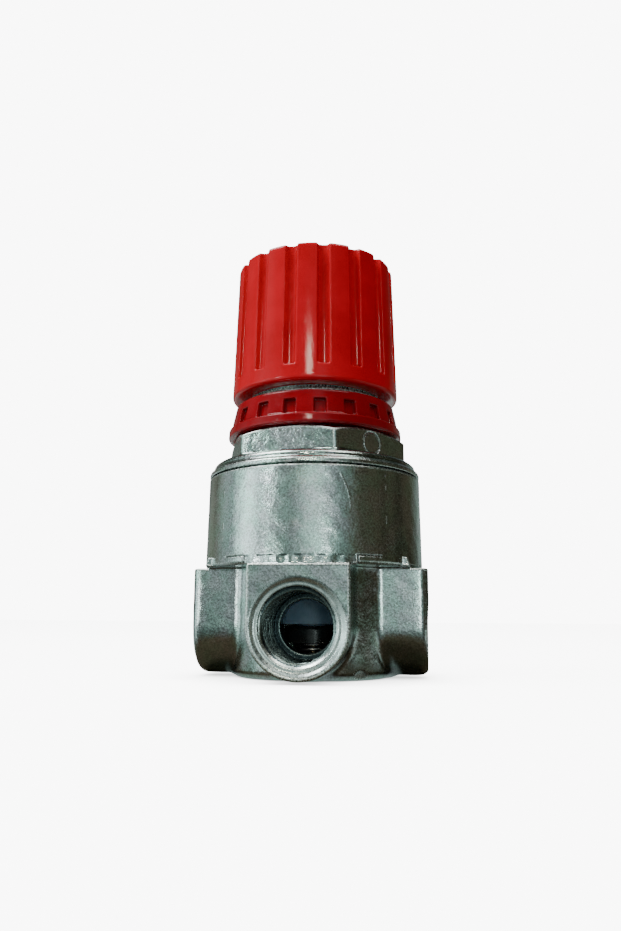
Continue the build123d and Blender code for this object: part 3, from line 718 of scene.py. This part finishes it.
# ---- materials ---------------------------------------------------------------------------------------
class Material:
    """A node material with short calls for the few nodes that every finish here needs."""

    def __init__(self, name):
        self.data = bpy.data.materials.new(name)
        self.data.use_nodes = True
        self.tree = self.data.node_tree
        self.shader = self.tree.nodes["Principled BSDF"]
        self.place = self.tree.nodes.new("ShaderNodeTexCoord").outputs["Object"]

    def link(self, source, target):
        self.tree.links.new(source, target)

    def edges(self):
        """Shares of outer edge and of inner corner, 0 on pieces without that attribute; some finishes paint
        outer edges lighter, as wear and painted highlight, and inner corners darker, as painted shade.
        """
        node = self.tree.nodes.new("ShaderNodeAttribute")
        node.attribute_name = "edge"
        return self.spread(node.outputs["Fac"], 0, 1), self.spread(node.outputs["Fac"], 0, 1, 0, -1)

    def times(self, first, second):
        """Product of two values."""
        node = self.tree.nodes.new("ShaderNodeMath")
        node.operation = "MULTIPLY"
        self.link(first, node.inputs[0])
        self.link(second, node.inputs[1])
        return node.outputs[0]

    def set(self, **values):
        """Sets sockets of the shader; a word's _ stands for a space."""
        for name, value in values.items():
            self.shader.inputs[name.replace("_", " ")].default_value = value

    def noise(self, size, detail=4.0, rough=0.55, stretch=(1, 1, 1)):
        """Noise whose features are about size millimetres across."""
        mapping = self.tree.nodes.new("ShaderNodeMapping")
        mapping.inputs["Scale"].default_value = stretch
        self.link(self.place, mapping.inputs["Vector"])
        node = self.tree.nodes.new("ShaderNodeTexNoise")
        node.inputs["Scale"].default_value = 1 / (size * MM)
        node.inputs["Detail"].default_value = detail
        node.inputs["Roughness"].default_value = rough
        self.link(mapping.outputs["Vector"], node.inputs["Vector"])
        return node.outputs["Fac"]

    def spread(self, source, low, high, start=0.0, end=1.0):
        """Maps start..end of a value to low..high, clamped."""
        node = self.tree.nodes.new("ShaderNodeMapRange")
        for name, value in (("From Min", start), ("From Max", end), ("To Min", low), ("To Max", high)):
            node.inputs[name].default_value = value
        self.link(source, node.inputs["Value"])
        return node.outputs["Result"]

    def mix(self, factor, first, second):
        """Mix of two colours or colour sockets."""
        node = self.tree.nodes.new("ShaderNodeMix")
        node.data_type = "RGBA"
        for socket, value in ((node.inputs[0], factor), (node.inputs[6], first), (node.inputs[7], second)):
            if isinstance(value, bpy.types.NodeSocket):
                self.link(value, socket)
            elif socket.type == "RGBA":
                socket.default_value = (*value, 1)
            else:
                socket.default_value = value
        return node.outputs[2]

    def bump(self, *layers):
        """Stacks (height socket, depth in millimetres) layers into the shader's normal."""
        last = None
        for height, depth in layers:
            node = self.tree.nodes.new("ShaderNodeBump")
            node.inputs["Strength"].default_value = 1
            node.inputs["Distance"].default_value = depth * MM
            self.link(height, node.inputs["Height"])
            if last:
                self.link(last, node.inputs["Normal"])
            last = node.outputs["Normal"]
        self.link(last, self.shader.inputs["Normal"])


def cast_nickel():
    """Nickel plating over a grainy die casting: tinted in patches, lighter on edges as wear and painted
    highlight, and darker in inner corners, the seam and the slits as painted shade.
    """
    m = Material("nickel_plated_casting")
    patches = m.noise(4.0, 5.0, 0.6)
    grain = m.noise(0.32, 3.0, 0.7)
    stains = m.noise(1.7, 6.0, 0.72)
    wear_and_sheen, corner_shade = m.edges()
    colour = m.mix(m.spread(patches, 0, 1, 0.40, 0.60), (0.70, 0.71, 0.74), (0.60, 0.78, 0.72))
    colour = m.mix(m.spread(grain, 0.65, 0, 0.38, 0.58), colour, (0.28, 0.29, 0.25))
    colour = m.mix(m.spread(stains, 0, 0.45, 0.56, 0.74), colour, (0.22, 0.21, 0.15))
    # painted shade: inner corners, the seam and the slits are darkened
    colour = m.mix(m.times(corner_shade, m.spread(stains, 0.5, 1, 0.35, 0.55)), colour, (0.05, 0.045, 0.03))
    # outer edges and rubbed marks lightened: wear, and painted highlights and glints
    colour = m.mix(m.times(wear_and_sheen, m.spread(grain, 0, 1, 0.46, 0.54)), colour, (0.92, 0.98, 0.95))
    m.link(colour, m.shader.inputs["Base Color"])
    m.set(Metallic=1.0)
    rough = m.spread(m.mix(0.5, m.noise(3.5, 5.0, 0.65), grain), 0.10, 0.24, 0.40, 0.60)
    m.link(m.mix(wear_and_sheen, rough, (0.42,) * 3), m.shader.inputs["Roughness"])
    m.bump(
        (m.noise(3.2, 3.0), 0.09),
        (m.noise(0.8, 2.0), 0.012),
        (grain, 0.016),
        (m.times(wear_and_sheen, m.noise(0.35, 2.0)), 0.08),
    )
    return m.data


def turned_nickel():
    """Plating over the faced rings round the ports: brighter and more even than the casting, with painted
    shade in its inner corners.
    """
    m = Material("faced_nickel")
    cloud = m.noise(2.0, 4.0)
    _, corner_shade = m.edges()
    colour = m.mix(m.spread(cloud, 0, 1, 0.35, 0.65), (0.66, 0.74, 0.71), (0.82, 0.90, 0.87))
    # painted shade in inner corners
    m.link(m.mix(corner_shade, colour, (0.06, 0.055, 0.04)), m.shader.inputs["Base Color"])
    m.set(Metallic=1.0)
    m.link(m.spread(m.noise(0.6, 4.0), 0.20, 0.34, 0.35, 0.65), m.shader.inputs["Roughness"])
    m.bump((m.noise(1.2, 3.0), 0.02), (m.noise(0.2, 2.0), 0.010))
    return m.data


def port_metal_shaded():
    """Metal inside the port threads: a dark, slightly blue colour painted for the shade deep in the ports,
    with edges lightened as wear and painted highlight.
    """
    m = Material("port_metal_painted_dark")
    film = m.noise(1.2, 5.0, 0.6)
    wear_and_sheen, _ = m.edges()
    # painted shade: the inside of the ports is coloured dark; its edges are lightened as wear and painted
    # highlight
    colour = m.mix(m.spread(film, 0, 1, 0.35, 0.65), (0.035, 0.055, 0.065), (0.10, 0.14, 0.145))
    m.link(m.mix(wear_and_sheen, colour, (0.24, 0.30, 0.29)), m.shader.inputs["Base Color"])
    m.set(Metallic=1.0)
    m.link(m.spread(m.noise(0.5, 4.0), 0.20, 0.40, 0.35, 0.65), m.shader.inputs["Roughness"])
    m.bump((m.noise(0.7, 3.0), 0.03), (m.noise(0.15, 2.0), 0.01))
    return m.data


def red_plastic(name, deep, bright):
    """Glossy moulded red plastic, finely grained, with handling marks and slightly scuffed edges; inner
    corners are darkened as painted shade.
    """
    m = Material(name)
    wear_and_sheen, corner_shade = m.edges()
    colour = m.mix(m.spread(m.noise(6.0, 4.0), 0, 1, 0.35, 0.65), deep, bright)
    # painted shade: inner corners darkened
    colour = m.mix(m.times(corner_shade, m.spread(m.noise(1.0), 0.2, 0.6, 0.3, 0.7)), colour, (0.08, 0.002, 0.004))
    m.link(colour, m.shader.inputs["Base Color"])
    scuffs = m.spread(m.noise(0.8, 5.0, 0.7), 0.06, 0.12, 0.35, 0.7)
    m.link(m.mix(wear_and_sheen, scuffs, (0.22,) * 3), m.shader.inputs["Roughness"])
    m.set(IOR=1.45, Specular_IOR_Level=0.32)
    m.bump(
        (m.noise(2.5, 3.0), 0.03),
        (m.noise(0.24, 3.0, 0.6), 0.009),
        (m.noise(0.3, 2.0, 0.5, (1, 1, 0.08)), 0.004),
    )
    return m.data


def machined_steel(name, colour, rough):
    """Turned or drawn metal with fine rings and slight tarnish."""
    m = Material(name)
    tarnish = m.noise(3.0, 5.0)
    dark = tuple(0.6 * c for c in colour)
    m.link(m.mix(m.spread(tarnish, 0, 0.7, 0.45, 0.7), colour, dark), m.shader.inputs["Base Color"])
    m.set(Metallic=1.0)
    m.link(m.spread(m.noise(0.6, 4.0), rough * 0.7, rough * 1.4, 0.3, 0.7), m.shader.inputs["Roughness"])
    m.bump((m.noise(0.3, 3.0, 0.6, (0.2, 0.2, 3.0)), 0.008), (m.noise(1.0), 0.01))
    return m.data


def nylon():
    """Natural nylon, slightly blue and slightly waxy; its colour is kept dark as painted shade, for the deep
    inlet where it shows.
    """
    m = Material("natural_nylon_painted_dark")
    cloud = m.noise(2.5, 4.0)
    # colour kept dark as painted shade for the deep inlet
    colour = m.mix(m.spread(cloud, 0, 1, 0.3, 0.7), (0.26, 0.38, 0.52), (0.34, 0.46, 0.60))
    m.link(colour, m.shader.inputs["Base Color"])
    m.link(m.spread(m.noise(0.5), 0.35, 0.55, 0.3, 0.7), m.shader.inputs["Roughness"])
    m.set(Subsurface_Weight=0.15, Subsurface_Scale=0.0008)
    m.bump((m.noise(0.4, 3.0, 0.6, (0.2, 0.2, 4.0)), 0.01), (m.noise(0.1), 0.002))
    return m.data


def rubber():
    """Smooth black rubber with a faint bloom."""
    m = Material("black_rubber")
    colour = m.mix(m.spread(m.noise(2.0, 5.0), 0, 1, 0.4, 0.7), (0.012, 0.012, 0.013), (0.03, 0.03, 0.032))
    m.link(colour, m.shader.inputs["Base Color"])
    m.link(m.spread(m.noise(0.7), 0.12, 0.3, 0.3, 0.7), m.shader.inputs["Roughness"])
    m.bump((m.noise(0.8), 0.01), (m.noise(0.15), 0.003))
    return m.data


# ---- stage -------------------------------------------------------------------------------------------
def camera():
    """Camera close in front, just above the base, looking slightly up."""
    data = bpy.data.cameras.new("camera")
    data.sensor_fit = "VERTICAL"
    data.sensor_height = 36
    data.lens = 28.92
    data.clip_start = 0.005
    thing = bpy.data.objects.new("camera", data)
    bpy.context.collection.objects.link(thing)
    around, distance, height = math.radians(7.4), 143 * MM, 10.2 * MM
    yaw, pitch, roll = math.radians(-0.32), math.radians(11.63), math.radians(0.36)
    forward = Vector((math.sin(yaw) * math.cos(pitch), math.cos(yaw) * math.cos(pitch), math.sin(pitch)))
    right = Vector((math.cos(yaw), -math.sin(yaw), 0))
    up = right.cross(forward)
    right, up = right * math.cos(roll) + up * math.sin(roll), up * math.cos(roll) - right * math.sin(roll)
    turn = Matrix.Rotation(around, 4, "Z")
    pose = Matrix((right, up, -forward)).transposed().to_4x4()
    thing.matrix_world = turn @ Matrix.Translation((0, -distance, height)) @ pose
    bpy.context.scene.camera = thing


def floor():
    """Pale floor for the camera, with a painted contact shadow under the object; reflections see a dark patch
    with a painted ring of light in its middle, and the room beyond.
    """
    half = 3.0
    mesh = bpy.data.meshes.new("floor")
    corners = [(-half, -half, 0), (half, -half, 0), (half, half, 0), (-half, half, 0)]
    mesh.from_pydata(corners, [], [(0, 1, 2, 3)])
    thing = bpy.data.objects.new("floor", mesh)
    bpy.context.collection.objects.link(thing)
    m = Material("pale_floor")
    nodes = m.tree.nodes
    m.set(Roughness=0.9)
    m.link(m.mix(m.noise(40.0), (0.80, 0.80, 0.80), (0.84, 0.84, 0.84)), m.shader.inputs["Base Color"])
    glow = nodes.new("ShaderNodeEmission")
    # painted contact shadow: the floor's glow for the camera dims where the object is close
    painted_contact_shadow = nodes.new("ShaderNodeAmbientOcclusion")
    painted_contact_shadow.inputs["Distance"].default_value = 12 * MM
    m.link(m.spread(painted_contact_shadow.outputs["AO"], 0.12 * FLOOR_GLOW, FLOOR_GLOW), glow.inputs["Strength"])
    pale = nodes.new("ShaderNodeAddShader")
    m.link(m.shader.outputs[0], pale.inputs[0])
    m.link(glow.outputs[0], pale.inputs[1])
    dark = nodes.new("ShaderNodeBsdfDiffuse")
    dark.inputs["Color"].default_value = (0.07, 0.055, 0.035, 1)
    clear = nodes.new("ShaderNodeBsdfTransparent")
    distance = nodes.new("ShaderNodeVectorMath")
    distance.operation = "LENGTH"
    m.link(m.place, distance.inputs[0])
    # painted ring of light on the floor round the base, seen only in reflections
    light = nodes.new("ShaderNodeEmission")
    light.inputs["Color"].default_value = (*COOL, 1)
    m.link(m.spread(distance.outputs["Value"], PAINTED_FLOOR_RING_GLOW, 0, *PAINTED_FLOOR_RING), light.inputs["Strength"])
    near = nodes.new("ShaderNodeAddShader")
    m.link(dark.outputs[0], near.inputs[0])
    m.link(light.outputs[0], near.inputs[1])
    below = nodes.new("ShaderNodeMixShader")
    m.link(m.spread(distance.outputs["Value"], 0, 1, *DARK_FLOOR), below.inputs[0])
    m.link(near.outputs[0], below.inputs[1])
    m.link(clear.outputs[0], below.inputs[2])
    ray = nodes.new("ShaderNodeLightPath")
    choice = nodes.new("ShaderNodeMixShader")
    m.link(ray.outputs["Is Camera Ray"], choice.inputs[0])
    m.link(below.outputs[0], choice.inputs[1])
    m.link(pale.outputs[0], choice.inputs[2])
    m.link(choice.outputs[0], nodes["Material Output"].inputs["Surface"])
    thing.data.materials.append(m.data)


def lamp(name, around, rise, distance, size, power, colour=(1, 1, 1)):
    """Soft rectangular lamp aimed at the object; around is 0 in front and grows to the right, in degrees."""
    data = bpy.data.lights.new(name, "AREA")
    data.shape = "RECTANGLE"
    data.size, data.size_y = size
    data.energy, data.color = power, colour
    thing = bpy.data.objects.new(name, data)
    bpy.context.collection.objects.link(thing)
    a, e = math.radians(around), math.radians(rise)
    out = Vector((math.sin(a) * math.cos(e), -math.cos(a) * math.cos(e), math.sin(e)))
    thing.location = Vector((0, 0, 0.04)) + distance * out
    thing.rotation_euler = (-out).to_track_quat("-Z", "Y").to_euler()


def surroundings():
    """White backdrop for the camera; for reflections, a dim room, bright at the left and in front and below
    the horizon at the right and the back."""
    world = bpy.data.worlds.new("room")
    world.use_nodes = True
    bpy.context.scene.world = world
    nodes, links = world.node_tree.nodes, world.node_tree.links

    def node(kind, *sources, **settings):
        made = nodes.new("ShaderNode" + kind)
        for name, value in settings.items():
            setattr(made, name, value)
        for socket, source in zip(made.inputs, sources):
            if isinstance(source, bpy.types.NodeSocket):
                links.new(source, socket)
            else:
                socket.default_value = source
        return made

    def ramp_of(position, stops):
        made = node("ValToRGB", position)
        steps = made.color_ramp
        steps.interpolation = "EASE"
        while len(steps.elements) < len(stops):
            steps.elements.new(0.5)
        for element, (at, colour) in zip(steps.elements, sorted(stops)):
            element.position, element.color = at, (*colour, 1)
        return made.outputs["Color"]

    direction = node("TexCoord").outputs["Generated"]
    x, y, z = node("SeparateXYZ", direction).outputs
    back = node("Math", y, -1.0, operation="MULTIPLY").outputs[0]
    around = node("Math", x, back, operation="ARCTAN2").outputs[0]
    turn = node("MapRange", around, -math.pi, math.pi).outputs["Result"]
    rise = node("MapRange", z, -1.0, 1.0).outputs["Result"]

    def glow(levels, heights):
        """Product of a ramp round the horizon, tinted by its brightness, and a ramp by height."""
        walls = []
        for degrees, level in levels:
            share = min(level / 0.4, 1)
            tint = [share * cool + (1 - share) * warm for cool, warm in zip(COOL, WARM)]
            walls.append((degrees / 360 + 0.5, [level / ROOM_PEAK * t for t in tint]))
        steps = [(math.sin(math.radians(degrees)) / 2 + 0.5, (level,) * 3) for degrees, level in heights]
        return node("VectorMath", ramp_of(turn, walls), ramp_of(rise, steps), operation="MULTIPLY").outputs[0]

    both = node("VectorMath", glow(ROOM_AROUND, ROOM_RISE), glow(BELOW_AROUND, BELOW_RISE), operation="ADD")
    clutter = node("TexNoise", direction)
    clutter.inputs["Scale"].default_value = 5
    clutter.inputs["Detail"].default_value = 3
    uneven = node("MapRange", clutter.outputs["Fac"], 0.35, 0.65, 0.45 * ROOM_PEAK, 1.55 * ROOM_PEAK)
    scaled = node("VectorMath", both.outputs[0], uneven.outputs["Result"], operation="MULTIPLY").outputs[0]
    seen = node("Mix", data_type="RGBA")
    links.new(node("LightPath").outputs["Is Camera Ray"], seen.inputs[0])
    links.new(scaled, seen.inputs[6])
    seen.inputs[7].default_value = (BACKDROP_GLOW, BACKDROP_GLOW, BACKDROP_GLOW, 1)
    links.new(seen.outputs[2], nodes["Background"].inputs["Color"])


# ---- the object --------------------------------------------------------------------------------------
def build():
    """Replaces the plain nodes with detailed pieces and gives everything its finish."""
    nickel = cast_nickel()
    knob_red = red_plastic("red_moulded_plastic", (0.66, 0.006, 0.014), (0.76, 0.009, 0.020))
    # the ring nut gets a darker copy of the knob's red: painted shade under the knob's overhang
    ring_red_shaded = red_plastic("red_moulded_plastic_shaded", (0.30, 0.004, 0.009), (0.37, 0.006, 0.013))
    steel = machined_steel("plated_steel", (0.62, 0.62, 0.60), 0.25)
    finishes = {
        "nickel_plated_zinc": nickel,
        "red_plastic": knob_red,
        "white_nylon": nylon(),
        "black_rubber": rubber(),
        "brass": machined_steel("brass", (0.34, 0.28, 0.18), 0.35),
        "plate_aluminium": machined_steel("plate_aluminium", (0.78, 0.79, 0.80), 0.3),
        "plated_steel": steel,
        "spring_steel": machined_steel("spring_steel", (0.45, 0.45, 0.46), 0.3),
    }
    slots = {s["node"]: s["material_slot"] for s in frame["record"]["subparts"]}
    detailed = [
        ("body_casting", "housing", body_field, BODY_LOW, BODY_HIGH),
        ("bonnet", "housing", bonnet_field, BONNET_LOW, BONNET_HIGH),
        ("lock_ring", "ring_nut", ring_field, RING_LOW, RING_HIGH),
        ("knob", "adjusting_knob", knob_field, KNOB_LOW, KNOB_HIGH),
    ]
    pieces = {}
    # lighter marks: rubbing, and painted glints on the chip and on the bonnet's neck
    rubbing_and_glints = {"body_casting": rubbed_lines_and_chip_glint, "bonnet": rubbed_mark_and_neck_glints}
    for node, body, field, low, high in detailed:
        piece = solid(node + "_detailed", field, low, high, rubbing_and_glints.get(node))
        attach(piece, body)
        pieces[node] = piece
    main = spring("main_spring_ground", SPRING_LOW, SPRING_HIGH, *MAIN_SPRING_COIL)
    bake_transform(main)
    pieces["main_spring"] = main
    small = spring("poppet_spring_ground", POPPET_SPRING_LOW, POPPET_SPRING_HIGH, *POPPET_SPRING_COIL)
    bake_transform(small)
    pieces["poppet_spring"] = small
    rubber_disc = solid("diaphragm_moulded", diaphragm_field, DIAPHRAGM_LOW, DIAPHRAGM_HIGH)
    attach(rubber_disc, "housing")
    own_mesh(rubber_disc)
    pieces["diaphragm"] = rubber_disc
    for node, piece in pieces.items():
        piece.data.materials.append(ring_red_shaded if node == "lock_ring" else finishes[slots[node]])
        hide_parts(node)
    mark_ports(pieces["body_casting"], port_metal_shaded(), turned_nickel())
    for node, thing in frame["nodes"].items():
        if node in pieces:
            continue
        thing.data.materials.clear()
        thing.data.materials.append(finishes[slots[node]])


build()
camera()
floor()
surroundings()
lamp("soft_top_left", -65, 56, 0.60, (0.30, 0.30), 3.3)
lamp("small_front", -1, 23.3, 0.60, (0.07, 0.012), 0.30, (1.0, 0.94, 0.78))
lamp("upper_left", -42, 16, 0.60, (0.06, 0.03), 0.14, (0.85, 1.0, 0.98))
lamp("low_left", -40, -1.5, 0.60, (0.20, 0.06), 0.20, (0.85, 1.0, 0.97))
lamp("low_right", 18, -1.5, 0.60, (0.10, 0.06), 0.13, (0.85, 1.0, 0.97))
lamp("fill_right", 48, 62, 0.60, (0.25, 0.25), 1.0, (1.0, 0.98, 0.92))
lamp("top_back", 170, 74, 0.60, (0.30, 0.20), 0.5, (0.88, 1.0, 0.97))
